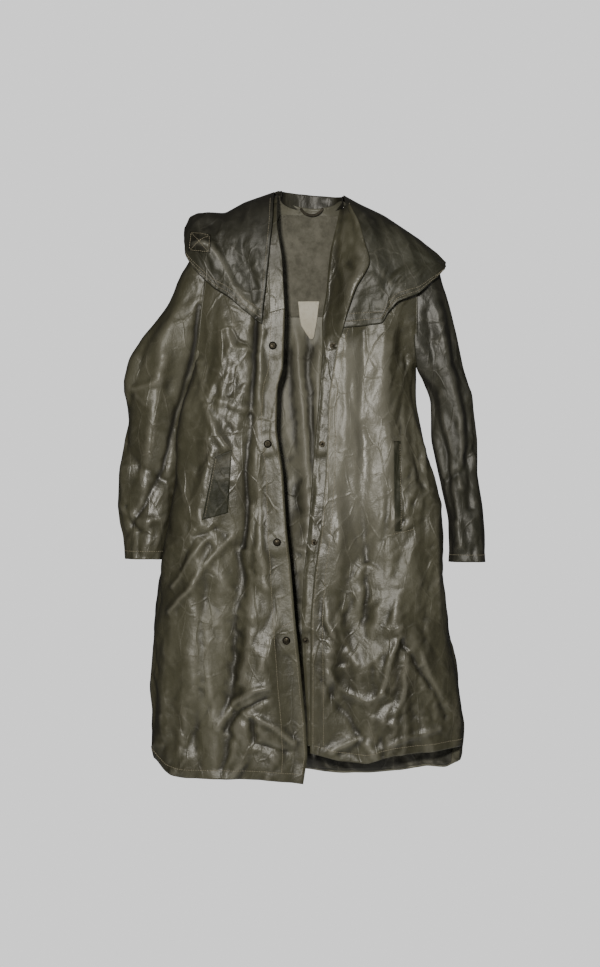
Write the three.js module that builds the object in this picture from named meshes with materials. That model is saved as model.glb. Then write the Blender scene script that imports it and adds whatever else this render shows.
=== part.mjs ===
// Long foul weather coat of proofed cloth with a shoulder cape, hanging open at the front.
// Millimetres, +Z up, the front faces -Y and the wearer's right is -X. The origin is at the
// neck, where the coat's shoulders rest on whatever it hangs from.
import * as THREE from 'three';

// ---------------------------------------------------------------- driving dimensions

const CLOTH = 2.4; // thickness of one layer, with its proofing
const SEAM_GAP = 1.5; // half the space left where the middles of two layers meet at a seam
const LAYER = 5; // distance between the middles of two layers sewn together
const HINGE_GAP = 3.2; // half the clearance along the fold line of a front

const FRONT_DEPTH = 60; // front of the body, forward of the shoulder line
const BACK_DEPTH = 44; // back of the body, behind the shoulder line
const SECTION_POWER = 2.6; // 2 is an ellipse, more is squarer
const SHOULDER_ROUNDING = 110; // drop over which the body fills out to its full depth
const CAPE_CLEARANCE = 15; // cape forward of the body under it

const BACK_HEM = -1166;
const FOLD_TOP = -300; // height at which the fold line of a front meets its edge
const FOLD_START = -335; // height at which the moving part of a front starts
const ARMPIT = -362;

const STUD_PITCH = 196;
const STUD_TOP = -318;
const STUD_COUNT = 4;
const STUD_CAP_RADIUS = 8;
const STUD_CAP_HEIGHT = 3.4;
const STUD_POST_RADIUS = 3;

// The outlines are lists of [z, x]: the wearer's right is -X and the wearer's left is +X.
const BODY_EDGE = {
  right: [[-50, -205], [-226, -226], [-340, -240], [-430, -256], [-516, -271], [-600, -279], [-680, -293],
    [-736, -304], [-800, -316], [-900, -327], [-1010, -336], [-1134, -332], [-1190, -316]],
  left: [[-100, 205], [-430, 206], [-492, 218], [-569, 234], [-645, 246], [-760, 257], [-826, 265],
    [-906, 271], [-982, 287], [-1105, 299], [-1160, 294]],
};
const FRONT_EDGE = {
  right: [[-8, -72], [-78, -76], [-139, -66], [-251, -60], [-365, -64], [-399, -75], [-484, -77], [-571, -64],
    [-671, -58], [-754, -49], [-862, -40], [-946, -31], [-1069, -20], [-1190, -18]],
  left: [[-20, 60], [-72, 86], [-155, 106], [-206, 76], [-257, 60], [-335, 41], [-413, 28], [-565, 22],
    [-685, 11], [-777, -2], [-855, -9], [-1130, -9]],
};
const SLEEVE_OUTER = {
  right: [[-140, -251], [-168, -270], [-232, -298], [-295, -348], [-340, -375], [-404, -387], [-469, -379],
    [-502, -387], [-577, -398], [-639, -401], [-696, -391], [-746, -385]],
  left: [[-160, 252], [-231, 273], [-359, 303], [-410, 318], [-506, 331], [-574, 332], [-638, 341],
    [-696, 346], [-751, 345]],
};
const SLEEVE_INNER = {
  right: [[-226, -231], [-340, -246], [-430, -262], [-516, -277], [-600, -285], [-690, -301], [-746, -312]],
  left: [[-200, 211], [-400, 214], [-432, 234], [-504, 236], [-595, 254], [-666, 270], [-751, 273]],
};
const FRONT_HEM = { right: [[-340, -1150], [-300, -1180], [-106, -1183], [0, -1195]],
  left: [[-20, -1130], [45, -1146], [103, -1151], [154, -1136], [310, -1128]] };

// The fold line of each front: top and bottom points on the front of the body, [x, z].
const FOLD_LINE = {
  right: { top: [-62, FOLD_TOP], bottom: [-250, -1182] },
  left: { top: [50, FOLD_TOP], bottom: [230, -1134] },
};

// The shoulder line of the body and the ridge of the cape above it, [x, z].
const SHOULDER_LINE = [[-230, -66], [-205, -56], [-66, -4], [0, 14], [52, -16], [205, -104], [240, -124]];
const CAPE_RIDGE = { right: [[-258, -74], [-205, -48], [-66, 6]], left: [[60, -5], [150, -62], [256, -140]] };
const CAPE_HEM = { right: [[-258, -130], [-229, -176], [-172, -221], [-107, -276], [-62, -288]],
  left: [[58, -284], [139, -272], [144, -250], [164, -231], [205, -215], [256, -172]] };

// ---------------------------------------------------------------- materials

function finish(colour, roughness, metalness = 0) {
  return new THREE.MeshStandardMaterial({ color: colour, roughness, metalness });
}
const oilskin = () => finish(0x46412f, 0.35);
const oilskinDark = () => finish(0x322f24, 0.4);
const backing = () => finish(0x5f5847, 0.8);
const tape = () => finish(0x3a3528, 0.75);
const cotton = () => finish(0xd8cfb6, 0.85);
const brass = () => finish(0x8c8468, 0.35, 1);

// ---------------------------------------------------------------- geometry helpers

/** Value of a list of [key, value] pairs at a key, straight between the points. */
function valueAt(list, key) {
  const sorted = list[0][0] < list[list.length - 1][0] ? list : [...list].reverse();
  if (key <= sorted[0][0]) return sorted[0][1];
  for (let i = 1; i < sorted.length; i += 1) {
    const [k1, v1] = sorted[i];
    const [k0, v0] = sorted[i - 1];
    if (key <= k1) return v0 + ((v1 - v0) * (key - k0)) / (k1 - k0);
  }
  return sorted[sorted.length - 1][1];
}

const mix = (a, b, t) => a + (b - a) * t;
const steps = (count, from = 0, to = 1) => (
  Array.from({ length: count + 1 }, (_, i) => mix(from, to, i / count)));

function volumeOf(positions, triangles) {
  let sum = 0;
  const p = (i) => new THREE.Vector3().fromArray(positions, 3 * i);
  for (let t = 0; t < triangles.length; t += 3) {
    sum += p(triangles[t]).dot(p(triangles[t + 1]).cross(p(triangles[t + 2])));
  }
  return sum / 6;
}

/** Closed solid of a cloth layer. rows is a grid of points in the middle of the layer, and
 *  isOpen(column, row) says which cells are cut out of it. */
function sheetGeometry(rows, thickness = CLOTH, isOpen = () => false) {
  const high = rows.length;
  const wide = rows[0].length;
  const at = (i, j) => rows[Math.min(high - 1, Math.max(0, j))][Math.min(wide - 1, Math.max(0, i))];
  const positions = [];
  for (const side of [0.5, -0.5]) {
    for (let j = 0; j < high; j += 1) {
      for (let i = 0; i < wide; i += 1) {
        const across = at(i + 1, j).clone().sub(at(i - 1, j));
        const along = at(i, j + 1).clone().sub(at(i, j - 1));
        const normal = across.cross(along).normalize();
        at(i, j).clone().addScaledVector(normal, side * thickness).toArray(positions, positions.length);
      }
    }
  }
  const kept = (i, j) => i >= 0 && j >= 0 && i < wide - 1 && j < high - 1 && !isOpen(i, j);
  const top = (i, j) => j * wide + i;
  const under = (i, j) => high * wide + top(i, j);
  const triangles = [];
  const quad = (a, b, c, d) => triangles.push(a, b, c, a, c, d);
  for (let j = 0; j < high - 1; j += 1) {
    for (let i = 0; i < wide - 1; i += 1) {
      if (!kept(i, j)) continue;
      quad(top(i, j), top(i + 1, j), top(i + 1, j + 1), top(i, j + 1));
      quad(under(i, j), under(i, j + 1), under(i + 1, j + 1), under(i + 1, j));
      const edges = [[i, j, i + 1, j, i, j - 1], [i + 1, j, i + 1, j + 1, i + 1, j],
        [i + 1, j + 1, i, j + 1, i, j + 1], [i, j + 1, i, j, i - 1, j]];
      for (const [ax, ay, bx, by, nextX, nextY] of edges) {
        if (!kept(nextX, nextY)) quad(top(bx, by), top(ax, ay), under(ax, ay), under(bx, by));
      }
    }
  }
  if (volumeOf(positions, triangles) < 0) triangles.reverse();
  const geometry = new THREE.BufferGeometry();
  geometry.setAttribute('position', new THREE.Float32BufferAttribute(positions, 3));
  geometry.setIndex(triangles);
  geometry.computeVertexNormals();
  return geometry;
}

const coat = new THREE.Group();

function add(name, geometry, material) {
  const mesh = new THREE.Mesh(geometry, material);
  mesh.name = name;
  coat.add(mesh);
  return mesh;
}

// ---------------------------------------------------------------- shape of the hanging body

const signOf = { right: -1, left: 1 };
const FACE = { front: -1, back: 1 };

/** How much deeper than its edge the body would reach: over 1 the armhole stays open. */
function armholeOpening(z) {
  return 1 + 0.16 * THREE.MathUtils.smoothstep(z, ARMPIT, ARMPIT + 90);
}

/** Middle of the cloth of the body's front or back at a place, offset inwards by inside. */
function bodyPoint(face, x, z, inside = 0) {
  const side = x < 0 ? 'right' : 'left';
  const reach = Math.abs(valueAt(BODY_EDGE[side], z)) * armholeOpening(z);
  const share = Math.min(1, Math.abs(x) / reach);
  const across = (1 - share ** SECTION_POWER) ** (1 / SECTION_POWER);
  const drop = THREE.MathUtils.clamp((valueAt(SHOULDER_LINE, x) - z) / SHOULDER_ROUNDING, 0, 1);
  const filled = Math.sqrt(1 - (1 - drop) ** 2);
  const depth = (face === 'front' ? FRONT_DEPTH : BACK_DEPTH) * across * filled;
  return new THREE.Vector3(x, FACE[face] * Math.max(SEAM_GAP, depth - inside), z);
}

/** Columns that crowd towards the side seam, where the cloth turns round. */
const towardsSide = (count) => steps(count).map((t) => Math.sin((t * Math.PI) / 2));

// A row of a patch of cloth: height gives its z at an x, and guess is a z near it.
const flatRow = (z) => ({ guess: z, height: () => z });
const shoulderRow = (drop) => ({ guess: -60, height: (x) => valueAt(SHOULDER_LINE, x) - drop });
const hemRow = (side, lift = 0) => ({ guess: -1150, height: (x) => valueAt(FRONT_HEM[side], x) + lift });
const TOP_ROWS = [0.5, 10, 34, 70].map(shoulderRow);

/** Grid of points on the body: columns are x as a function of z, rows as above. */
function bodyGrid(face, columns, rows, inside = 0) {
  return rows.map((row) => columns.map((xAt) => {
    const nearly = row.height(xAt(row.guess));
    const x = xAt(nearly);
    return bodyPoint(face, x, row.height(x), inside);
  }));
}

function bodyPatch(face, columns, rows, inside, isOpen) {
  return sheetGeometry(bodyGrid(face, columns, rows, inside), CLOTH, isOpen);
}

/** Columns from one line to another, where a line is x as a function of z. */
const between = (from, to, shares) => shares.map((t) => (z) => mix(from(z), to(z), t));

// ---------------------------------------------------------------- back of the coat

const bodyEdge = (side) => (z) => valueAt(BODY_EDGE[side], z);

function backPanel() {
  const columns = between(() => 0, bodyEdge('right'), towardsSide(6)).reverse();
  columns.push(...between(() => 0, bodyEdge('left'), towardsSide(6)).slice(1));
  const neck = (row) => ({ ...row, height: (x) => Math.min(row.height(x), -18) });
  const levels = [-190, -260, ARMPIT, -440, -540, -660, -780, -900, -1010, -1100, BACK_HEM];
  return bodyPatch('back', columns, [...TOP_ROWS.map(neck), ...levels.map(flatRow)]);
}

/** Patch on the inside of the back, straight at the sides. */
function backStrip(xFrom, xTo, rows, inside, across) {
  return bodyPatch('back', between(() => xFrom, () => xTo, steps(across)), rows, inside);
}

/** Lining of the upper back. Its top follows the shoulders. */
function backLining() {
  const top = { guess: -80, height: (x) => Math.min(valueAt(SHOULDER_LINE, x) - 34, -50) };
  return backStrip(-165, 160, [top, ...[-125, -165, -210, -250].map(flatRow)], LAYER, 8);
}

const label = () => backStrip(-34, 10, [-218, -257, -296].map(flatRow), 2 * LAYER - 1, 3);
const backHemFacing = () => backStrip(-250, 235, [BACK_HEM + 30, BACK_HEM + 4].map(flatRow), LAYER, 12);

/** Low band that stands round the back of the neck. */
function neckBand() {
  const rows = [-14, -3, 8].map((z) => steps(12, 0.06, Math.PI - 0.06).map((turn) => {
    const x = -6 + 62 * Math.cos(turn);
    return new THREE.Vector3(x, 37 * Math.sin(turn), z - 0.05 * x);
  }));
  return sheetGeometry(rows);
}

const LOOP = { x: -6, y: 22, z: -22, half: 26, drop: 24, width: 5 };

/** Tape loop sewn inside the back of the neck. */
function hangLoop() {
  const rows = steps(10, 0, Math.PI).map((turn) => {
    const x = LOOP.x + LOOP.half * Math.cos(turn);
    const z = LOOP.z - LOOP.drop * Math.sin(turn);
    const inward = LOOP.width / LOOP.half;
    return [1, 1 - inward].map((scale) => new THREE.Vector3(
      LOOP.x + (x - LOOP.x) * scale,
      LOOP.y,
      LOOP.z + (z - LOOP.z) * scale,
    ));
  });
  return sheetGeometry(rows, 1.6);
}

// ---------------------------------------------------------------- fronts of the coat

const frontEdge = (side) => (z) => valueAt(FRONT_EDGE[side], z);

/** x of the fold line that a front swings about. */
const foldLine = (side) => (z) => {
  const { top, bottom } = FOLD_LINE[side];
  return mix(top[0], bottom[0], (top[1] - z) / (top[1] - bottom[1]));
};

// The pocket mouths. edge is the mouth's front edge carried on to the shoulder and the hem.
const POCKET = {
  right: { top: -530, bottom: -672, bagBottom: -790, width: 14,
    edge: [[-60, -148], [-530, -166], [-672, -176], [-800, -226], [-1190, -280]] },
  left: { top: -512, bottom: -684, bagBottom: -790, width: 14,
    edge: [[-60, 140], [-512, 158], [-684, 160], [-800, 192], [-1150, 258]] },
};
const mouthEdge = (side, beyond = 0) => (z) => valueAt(POCKET[side].edge, z) + signOf[side] * beyond;

/** The part of a front that hangs from the shoulder, with the pocket mouth cut in it. */
function frontSide(side) {
  const { top, bottom, width } = POCKET[side];
  const beyondFold = (z) => foldLine(side)(z) + signOf[side] * HINGE_GAP;
  const inner = (z) => (z > FOLD_START - 1 ? frontEdge(side)(z) : beyondFold(z));
  const columns = [
    ...between(inner, mouthEdge(side), [0, 0.5, 1]),
    ...between(mouthEdge(side, width), bodyEdge(side), [0, 0.35, 0.68, 0.88, 0.97, 1]),
  ];
  const levels = [-190, -245, FOLD_TOP, FOLD_START, FOLD_START - 10, -430, top, mix(top, bottom, 0.5), bottom,
    -780, -880, -990, -1080];
  const rows = [...TOP_ROWS, ...levels.map(flatRow), hemRow(side)];
  const firstOpen = TOP_ROWS.length + levels.indexOf(top);
  const isOpen = (i, j) => i === 2 && (j === firstOpen || j === firstOpen + 1);
  return bodyPatch('front', columns, rows, 0, isOpen);
}

const SWING_LEVELS = [FOLD_START - 15, -430, -520, -620, -720, -820, -920, -1020, -1090];
const beforeFold = (side) => (z) => foldLine(side)(z) - signOf[side] * HINGE_GAP;

/** The part of a front along its opening, which folds back. */
function frontEdgePanel(side) {
  const columns = between(frontEdge(side), beforeFold(side), [0, 0.2, 0.4, 0.6, 0.8, 1]);
  return bodyPatch('front', columns, [...SWING_LEVELS.map(flatRow), hemRow(side)]);
}

/** Facing inside a front, along its edge. */
function facing(side, from, wide, zTop) {
  const start = (z) => frontEdge(side)(z) + signOf[side] * from;
  const end = (z) => frontEdge(side)(z) + signOf[side] * (from + wide);
  const levels = [zTop, -620, -760, -900, -1020, -1110];
  return bodyPatch('front', between(start, end, [0, 0.5, 1]), levels.map(flatRow), LAYER);
}

/** Facing inside the hem of the moving part of a front, beside the facing of its edge. */
function frontHemFacing(side, from) {
  const start = (z) => frontEdge(side)(z) + signOf[side] * from;
  const rows = [hemRow(side, 28), hemRow(side, 3)];
  return bodyPatch('front', between(start, beforeFold(side), [0, 0.25, 0.5, 0.75, 1]), rows, LAYER);
}

// Inner edge of the strip that stands out beyond the left front's edge, as [z, x].
const FLY_LINE = [[-332, 17], [-520, 0], [-685, -12], [-777, -22], [-862, -27], [-946, -23], [-1069, -15],
  [-1130, -14]];

/** Strip under the left front's edge that carries the studs. */
function flyStrip() {
  const levels = [...SWING_LEVELS.slice(0, -1), -1118];
  const inner = (z) => valueAt(FLY_LINE, z);
  const outer = (z) => frontEdge('left')(z) + 8;
  return bodyPatch('front', between(inner, outer, [0, 0.5, 1]), levels.map(flatRow), LAYER);
}

// Inner edge of the left front where it rolls back at the neck, as [z, x].
const ROLL_LINE = [[-30, 54], [-78, 43], [-125, 31], [-170, 26], [-210, 23], [-262, 17], [-332, 17]];

/** Upper end of the left front's edge, which rolls open at the neck. */
function lapel() {
  const outer = (z) => frontEdge('left')(z) + 8;
  const levels = [-46, -78, -125, -170, -215, -262, -300, -332];
  const columns = between((z) => valueAt(ROLL_LINE, z), outer, [0, 0.5, 1]);
  return bodyPatch('front', columns, levels.map(flatRow), LAYER);
}

/** Raised strip sewn to the outer side of a pocket mouth. */
function pocketWelt(side, wide) {
  const { top, bottom, width } = POCKET[side];
  const columns = between(mouthEdge(side, width + 1), mouthEdge(side, width + 1 + wide), [0, 0.5, 1]);
  return bodyPatch('front', columns, steps(3, top + 6, bottom - 6).map(flatRow), -LAYER);
}

const BAG_STRAIGHT = -700; // height below which the sides of a pocket's bag hang straight down
const BAG_BELLY = 17;

/** Bag of a pocket, a layer sewn behind the front that bellies out from it. */
function pocketBag(side) {
  const { top, bagBottom } = POCKET[side];
  const grid = steps(6, top + 18, bagBottom).map((z, j, levels) => steps(6).map((share) => {
    const belly = Math.sin(Math.PI * share) * Math.sin((Math.PI * j) / (levels.length - 1));
    const x = mouthEdge(side, mix(-24, 46, share))(Math.max(z, BAG_STRAIGHT));
    return bodyPoint('front', x, z, LAYER + BAG_BELLY * Math.sqrt(belly));
  }));
  return sheetGeometry(grid);
}

// ---------------------------------------------------------------- cape over the shoulders

const CAPE_ROUNDING = 84;
const CAPE_REACH = 290;

/** Middle of the cape's cloth at a place on the front or the back. */
function capePoint(face, x, z, inside = 0) {
  const side = x < 0 ? 'right' : 'left';
  const ridge = valueAt(CAPE_RIDGE[side], x);
  const across = (1 - (Math.abs(x) / CAPE_REACH) ** SECTION_POWER) ** (1 / SECTION_POWER);
  const drop = THREE.MathUtils.clamp((ridge - z) / CAPE_ROUNDING, 0, 1);
  const body = face === 'front' ? FRONT_DEPTH : BACK_DEPTH;
  const depth = (body + CAPE_CLEARANCE) * across * Math.sqrt(1 - (1 - drop) ** 2);
  return new THREE.Vector3(x, FACE[face] * Math.max(1.8, depth - inside), z);
}

const CAPE_NECK = { right: -74, left: 66 }; // x where the front of the cape starts at the neck
const CAPE_TIP = { right: -257, left: 255 };
const CAPE_FREE = { right: -66, left: 58 }; // x of the lower front corner of the cape
const CAPE_BOW = 26; // how far the left front edge of the cape bows outwards

function capeFront(side) {
  const rows = [0.02, 0.08, 0.2, 0.4, 0.6, 0.8, 1].map((v) => steps(9).map((t) => {
    const topX = mix(CAPE_NECK[side], CAPE_TIP[side], t);
    const lowX = mix(CAPE_FREE[side], CAPE_TIP[side], t);
    const bow = side === 'left' ? CAPE_BOW * (1 - t) * Math.sin(Math.PI * Math.min(1, v * 1.15)) : 0;
    const x = mix(topX, lowX, v) + bow;
    const z = mix(valueAt(CAPE_RIDGE[side], topX), valueAt(CAPE_HEM[side], lowX), v);
    return capePoint('front', x, z);
  }));
  return sheetGeometry(rows);
}

/** Band inside the cape's hem. */
function capeHemBand(side) {
  const rows = [26, 4].map((lift) => steps(9, 0.04, 0.9).map((t) => {
    const x = mix(CAPE_FREE[side], CAPE_TIP[side], t);
    return capePoint('front', x, valueAt(CAPE_HEM[side], x) + lift, LAYER);
  }));
  return sheetGeometry(rows);
}

function capeBackGrid(shares, inside, toHem) {
  const lowest = -292;
  return shares.map((v) => steps(16, CAPE_TIP.right, CAPE_TIP.left).map((x) => {
    const side = x < 0 ? 'right' : 'left';
    const top = Math.abs(x) < 74 ? -22 : valueAt(CAPE_RIDGE[side], x) - 1;
    const outward = THREE.MathUtils.smoothstep(Math.abs(x), 90, 262);
    const hem = mix(lowest, valueAt(CAPE_HEM[side], CAPE_TIP[side]), outward);
    return capePoint('back', x, toHem ? hem + v : mix(top, hem, v), inside);
  }));
}

/** Small reinforcing patch on the cape at the wearer's right shoulder. */
function shoulderPatch() {
  const slope = 0.2;
  const rows = [-96, -116, -136].map((z) => [-248, -236, -222, -208].map((x) => (
    capePoint('front', x, z - slope * (x + 228), -LAYER))));
  return sheetGeometry(rows, 1.6);
}

// ---------------------------------------------------------------- sleeves

const SLEEVE_DEPTH = 27;
const SLEEVE_TOP = { right: -168, left: -182 };
const CUFF = { right: -745, left: -751 };
const SLEEVE_GAP = 4; // between the body and the sleeve at the armhole

/** Section of a sleeve at a height: its middle, half width, and the turn where it ends. */
function sleeveSection(side, z) {
  const outer = valueAt(SLEEVE_OUTER[side], z);
  const inner = valueAt(SLEEVE_INNER[side], z) + signOf[side] * SLEEVE_GAP;
  const openness = THREE.MathUtils.smoothstep(z, ARMPIT - 40, ARMPIT + 60);
  const hidden = inner - signOf[side] * 44 * openness;
  const middle = (outer + hidden) / 2;
  const half = Math.abs(outer - hidden) / 2;
  const end = Math.acos(THREE.MathUtils.clamp((signOf[side] * (inner - middle)) / half, -1, 1));
  return { middle, half, end };
}

function sleevePoint(side, z, turn, inside = 0) {
  const { middle, half } = sleeveSection(side, z);
  const x = middle + signOf[side] * (half - inside) * Math.cos(turn);
  const reach = (SLEEVE_DEPTH - inside) * Math.sin(turn);
  return new THREE.Vector3(x, -(Math.abs(reach) < SEAM_GAP ? Math.sign(turn || 1) * SEAM_GAP : reach), z);
}

/** Front or back half of a sleeve, from the armhole to the cuff. */
function sleeveHalf(side, face) {
  const levels = [SLEEVE_TOP[side], -215, -262, -310, ARMPIT, -430, -506, -580, -640, -700, CUFF[side]];
  const rows = levels.map((z) => {
    const { end } = sleeveSection(side, z);
    return steps(8, 0, end).map((turn) => {
      const point = sleevePoint(side, z, turn);
      point.y = FACE[face] * Math.max(SEAM_GAP, Math.abs(point.y));
      return point;
    });
  });
  return sheetGeometry(rows);
}

/** Facing inside the cuff, open along its seam. */
function cuffFacing(side) {
  const inside = CLOTH + 1.6;
  const rows = [CUFF[side] + 34, CUFF[side] + 4].map((z) => steps(20, 0.1, 2 * Math.PI - 0.1).map((turn) => {
    const { middle, half } = sleeveSection(side, z);
    const x = middle + signOf[side] * (half - inside) * Math.cos(turn);
    return new THREE.Vector3(x, -(SLEEVE_DEPTH - inside) * Math.sin(turn), z);
  }));
  return sheetGeometry(rows);
}

// ---------------------------------------------------------------- press studs

function turned(profile) {
  const points = profile.map(([radius, height]) => new THREE.Vector2(radius, height));
  const geometry = new THREE.LatheGeometry(points, 12);
  geometry.rotateX(Math.PI);
  return geometry;
}

/** Domed cap, with its base towards the cloth. */
const studCap = () => turned([[0, 0], [STUD_CAP_RADIUS, 0], [STUD_CAP_RADIUS, 1.2],
  [5.6, STUD_CAP_HEIGHT - 0.6], [0, STUD_CAP_HEIGHT]]);
const socketHole = STUD_POST_RADIUS + 0.3;
const studSocket = () => turned([[socketHole, 0], [6.4, 0], [6.4, 2.2], [socketHole, 2.2], [socketHole, 0]]);
const studPost = () => turned([[0, 0], [6.2, 0], [6.2, 0.9], [STUD_POST_RADIUS - 0.6, 0.9],
  [STUD_POST_RADIUS, 3.4], [0, 4]]);
const studWasher = () => turned([[0, 0], [5.4, 0], [5.4, 1], [0, 1]]);

/** Puts a turned piece on the front at a place; outwards is its base in front of the cloth's middle. */
function placeStud(name, geometry, x, z, outwards) {
  const mesh = add(name, geometry, brass());
  const place = bodyPoint('front', x, z);
  mesh.position.set(x, place.y - outwards, z);
  return mesh;
}

// ---------------------------------------------------------------- the assembly

add('back_panel', backPanel(), oilskin());
add('back_lining', backLining(), backing());
add('blank_label', label(), cotton());
add('hem_facing_back', backHemFacing(), oilskinDark());
add('neck_band', neckBand(), oilskinDark());
add('hang_loop', hangLoop(), tape());
add('cape_back', sheetGeometry(capeBackGrid([0, 0.06, 0.18, 0.4, 0.7, 1], 0, false)), oilskin());
add('cape_hem_band_back', sheetGeometry(capeBackGrid([26, 4], LAYER, true)), oilskinDark());

for (const side of ['right', 'left']) {
  add(`front_side_${side}`, frontSide(side), oilskin());
  add(`front_panel_${side}`, frontEdgePanel(side), oilskin());
  add(`pocket_welt_${side}`, pocketWelt(side, side === 'right' ? 26 : 9), oilskinDark());
  add(`pocket_bag_${side}`, pocketBag(side), backing());
  add(`cape_front_${side}`, capeFront(side), oilskin());
  add(`cape_hem_band_${side}`, capeHemBand(side), oilskinDark());
  add(`sleeve_front_${side}`, sleeveHalf(side, 'front'), oilskin());
  add(`sleeve_back_${side}`, sleeveHalf(side, 'back'), oilskin());
  add(`cuff_facing_${side}`, cuffFacing(side), oilskinDark());
}
add('facing_right', facing('right', 2, 34, -540), backing());
add('facing_left', facing('left', 14, 36, -520), backing());
add('hem_facing_right', frontHemFacing('right', 42), oilskinDark());
add('hem_facing_left', frontHemFacing('left', 56), oilskinDark());
add('lapel_left', lapel(), backing());
add('fly_strip_left', flyStrip(), oilskinDark());
add('shoulder_patch_right', shoulderPatch(), oilskinDark());

const STUD_INSET = { right: 22, left: -10 }; // from each front's edge
for (let n = 0; n < STUD_COUNT; n += 1) {
  const z = STUD_TOP - n * STUD_PITCH;
  const rightX = frontEdge('right')(z) - STUD_INSET.right;
  const leftX = frontEdge('left')(z) + STUD_INSET.left;
  placeStud(`stud_cap_${n + 1}`, studCap(), rightX, z, CLOTH / 2 + 0.8);
  placeStud(`stud_post_${n + 1}`, studPost(), leftX, z, CLOTH / 2 + 0.8 - LAYER);
  placeStud(`stud_socket_${n + 1}`, studSocket(), rightX, z, -(CLOTH / 2 + LAYER + 4.4));
  placeStud(`stud_washer_${n + 1}`, studWasher(), leftX, z, -(CLOTH / 2 + LAYER + 2.2));
}

export default coat;
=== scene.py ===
"""Looks of a long foul weather coat with a shoulder cape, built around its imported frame.

Metres, +Z up, the front faces -Y and the wearer's right is -X. Outlines and folds are in millimetres.
"""
import math

import bmesh
import bpy
import numpy as np
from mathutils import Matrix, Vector
from mathutils.geometry import delaunay_2d_cdt


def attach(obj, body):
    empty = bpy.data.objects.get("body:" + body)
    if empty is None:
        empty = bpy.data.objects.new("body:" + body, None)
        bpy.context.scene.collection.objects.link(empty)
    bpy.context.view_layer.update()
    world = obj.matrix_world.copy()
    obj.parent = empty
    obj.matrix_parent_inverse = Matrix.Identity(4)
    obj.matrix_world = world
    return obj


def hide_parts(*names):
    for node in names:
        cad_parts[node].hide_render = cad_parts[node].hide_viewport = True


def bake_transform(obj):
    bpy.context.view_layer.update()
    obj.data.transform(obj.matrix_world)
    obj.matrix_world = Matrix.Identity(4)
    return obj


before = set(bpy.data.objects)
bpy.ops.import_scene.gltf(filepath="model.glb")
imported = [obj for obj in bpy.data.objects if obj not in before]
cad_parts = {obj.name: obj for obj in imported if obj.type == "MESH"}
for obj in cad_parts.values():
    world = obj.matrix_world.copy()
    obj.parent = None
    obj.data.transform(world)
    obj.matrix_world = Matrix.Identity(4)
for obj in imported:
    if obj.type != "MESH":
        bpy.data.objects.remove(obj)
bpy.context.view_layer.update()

MM = 0.001
RIGHT, LEFT = "right", "left"
SIGN = {RIGHT: -1, LEFT: 1}

# ---- driving dimensions

CLOTH = 0.0011            # thickness of a layer as it looks
THIN, THICK = 0.0006, 0.0022
LAYER = 0.0042            # space from a panel to the layer sewn inside it
FRONT_DEPTH, BACK_DEPTH = 0.060, 0.044
SECTION_POWER = 2.6       # 2 would make the body's section an ellipse
SHOULDER_ROUNDING = 0.110
CAPE_CLEARANCE = 0.015
ARMPIT = -0.362
SLEEVE_DEPTH = 0.027

# ---- outlines


class Line:
    """A smooth line through points in millimetres: call it with keys in metres to get values in metres."""

    def __init__(self, spread, points):
        keys, values = np.array(sorted(points), float).T
        self.keys = np.arange(keys[0], keys[-1] + 1, 2.0)
        padded = np.pad(np.interp(self.keys, keys, values), spread // 2, "reflect", reflect_type="odd")
        kernel = np.hanning(spread // 2 * 2 + 3)[1:-1]
        self.values = np.convolve(padded, kernel / kernel.sum(), "valid") * MM
        self.keys = self.keys * MM

    def __call__(self, key):
        return np.interp(key, self.keys, self.values)


def lines(spread, right, left):
    return {RIGHT: Line(spread, right), LEFT: Line(spread, left)}


# Edges give x at a height. Hems, ridges and the shoulder line give z at a place across.
body_edge = lines(30, [
    (-50, -205), (-226, -226), (-340, -240), (-389, -254), (-450, -270), (-516, -278), (-600, -282),
    (-680, -294), (-736, -305), (-800, -316), (-900, -327), (-1010, -336), (-1055, -330), (-1134, -332),
    (-1190, -312),
], [
    (-100, 205), (-430, 206), (-492, 218), (-569, 234), (-645, 246), (-700, 255), (-760, 256), (-826, 265),
    (-906, 271), (-982, 287), (-1105, 299), (-1160, 292),
])
front_edge = lines(14, [
    (-8, -75), (-78, -76), (-139, -66), (-200, -63), (-251, -60), (-306, -62), (-365, -64), (-399, -75),
    (-484, -77), (-571, -64), (-671, -58), (-754, -49), (-862, -40), (-946, -31), (-1069, -19),
    (-1136, -15), (-1196, -24),
], [
    (-20, 60), (-72, 86), (-100, 92), (-129, 101), (-155, 107), (-172, 98), (-206, 77), (-257, 60),
    (-306, 46), (-335, 41), (-413, 28), (-565, 22), (-685, 11), (-777, -2), (-855, -9), (-1130, -10),
])
front_hem = lines(10, [
    (-340, -1122), (-330, -1144), (-318, -1161), (-300, -1174), (-268, -1182), (-106, -1183), (-40, -1190),
    (0, -1196),
], [
    (-20, -1128), (45, -1146), (103, -1151), (154, -1136), (230, -1129), (310, -1124),
])
back_hem = Line(10, [
    (-340, -1122), (-330, -1142), (-318, -1159), (-300, -1172), (-22, -1180), (58, -1190), (111, -1190),
    (172, -1184), (226, -1174), (267, -1176), (290, -1160), (304, -1130),
])
shoulder_line = Line(10, [
    (-230, -66), (-205, -56), (-66, -4), (0, 14), (52, -16), (205, -104), (240, -124),
])
cape_ridge = lines(10, [
    (-262, -78), (-240, -44), (-210, -42), (-182, -44), (-143, -22), (-66, 5), (0, 24),
], [
    (0, 20), (52, -3), (92, -25), (139, -47), (215, -98), (241, -121), (262, -146),
])
cape_hem = lines(6, [
    (-262, -128), (-247, -155), (-229, -176), (-203, -202), (-172, -221), (-143, -247), (-124, -262),
    (-107, -276), (-62, -286),
], [
    (50, -284), (136, -273), (141, -257), (164, -231), (205, -215), (241, -182), (262, -160),
])
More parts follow.
